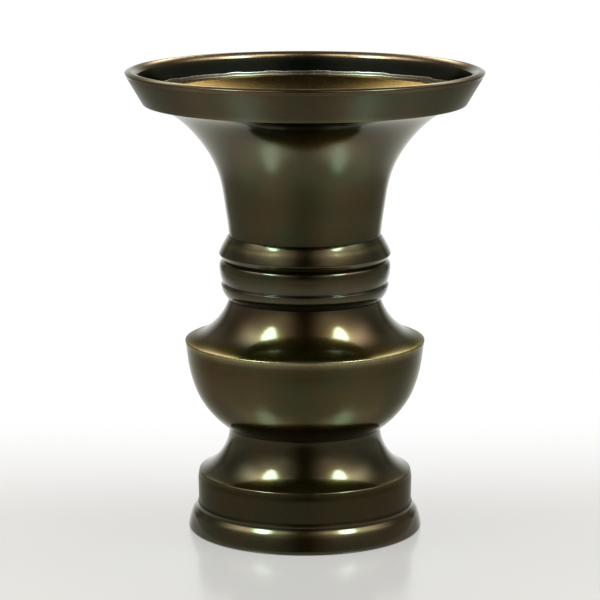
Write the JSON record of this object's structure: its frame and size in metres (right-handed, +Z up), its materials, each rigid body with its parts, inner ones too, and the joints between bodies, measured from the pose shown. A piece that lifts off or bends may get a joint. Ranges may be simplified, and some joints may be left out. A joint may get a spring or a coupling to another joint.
{
  "type": "bronze flower vase",
  "caption": "Turned bronze vase of gu form with a trumpet neck, collar rings, keeled bowl, moulded foot and a lift-out metal liner for water and stems.",
  "frame": {"origin": "centre of the face that the vase stands on", "axes": "+Z up along the vase's axis of turning; X and Y are alike"},
  "size_m": [0.1162, 0.1162, 0.1515],
  "materials": {
    "bronze": "turned and waxed, dark brown patina worn to a golden tone on the edges",
    "liner_metal": "spun sheet, golden brown, dulled by water",
    "ring_nut_brass": "turned, bare",
    "bolt_steel": "zinc plated",
    "seal_rubber": "matt"
  },
  "bodies": {
    "vase": {"base_ring": "bronze", "base_plate": "bronze", "foot": "bronze", "bowl": "bronze", "shoulder": "bronze", "neck_ring_nut": "ring_nut_brass", "lower_collar_ring": "bronze", "upper_collar_ring": "bronze", "neck": "bronze", "mouth_band": "bronze", "bowl_seal": "seal_rubber", "foot_bolt": "bolt_steel", "foot_washer": "bolt_steel", "foot_nut": "bolt_steel"},
    "liner": {"liner_flange": "liner_metal", "liner_tube": "liner_metal", "liner_base": "liner_metal"}
  },
  "joints": [
    {"name": "liner_lift", "type": "slide", "parent": "vase", "child": "liner", "axis": [0, 0, 1], "range_m": [0, 0.11]}
  ]
}
